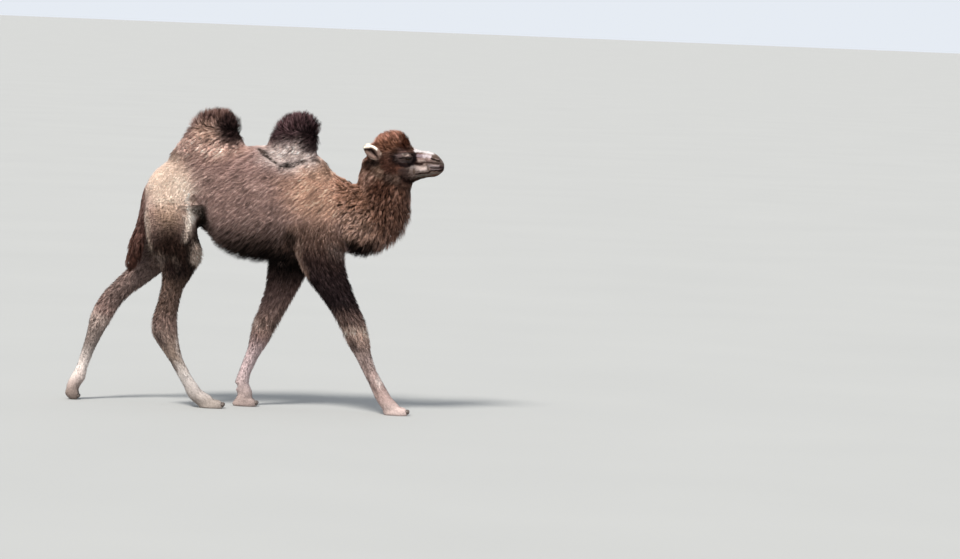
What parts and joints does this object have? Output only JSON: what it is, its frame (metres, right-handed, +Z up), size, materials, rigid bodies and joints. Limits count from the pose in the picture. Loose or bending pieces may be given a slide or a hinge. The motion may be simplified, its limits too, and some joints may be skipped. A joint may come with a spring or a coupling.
{
  "type": "bactrian camel calf",
  "caption": "Life-size still figure of a young bactrian camel in mid stride, with its coat, tufted humps and broad padded feet.",
  "frame": {"origin": "on the floor, under the middle of the animal's bounding box", "axes": "+X towards the nose, +Y to the animal's left, +Z up"},
  "size_m": [1.8644, 0.4102, 1.4901],
  "materials": {
    "coat_arm": "matt hair",
    "coat_ear": "matt hair",
    "coat_foot": "matt hair",
    "coat_head": "matt hair",
    "coat_hump": "matt hair",
    "coat_neck": "matt hair",
    "coat_shank": "matt hair",
    "coat_tail": "matt hair",
    "coat_thigh": "matt hair",
    "coat_trunk": "matt hair",
    "eye": "wet and dark",
    "nail": "dull horn"
  },
  "bodies": {
    "root": {"ear_left": "coat_ear", "ear_right": "coat_ear", "eye_left": "eye", "eye_right": "eye", "fore_left_arm": "coat_arm", "fore_left_foot": "coat_foot", "fore_left_nail_left": "nail", "fore_left_nail_right": "nail", "fore_left_shank": "coat_shank", "fore_right_arm": "coat_arm", "fore_right_foot": "coat_foot", "fore_right_nail_left": "nail", "fore_right_nail_right": "nail", "fore_right_shank": "coat_shank", "head": "coat_head", "hind_left_foot": "coat_foot", "hind_left_nail_left": "nail", "hind_left_nail_right": "nail", "hind_left_shank": "coat_shank", "hind_left_thigh": "coat_thigh", "hind_right_foot": "coat_foot", "hind_right_nail_left": "nail", "hind_right_nail_right": "nail", "hind_right_shank": "coat_shank", "hind_right_thigh": "coat_thigh", "hump_front": "coat_hump", "hump_rear": "coat_hump", "neck": "coat_neck", "tail": "coat_tail", "trunk": "coat_trunk"}
  },
  "joints": []
}
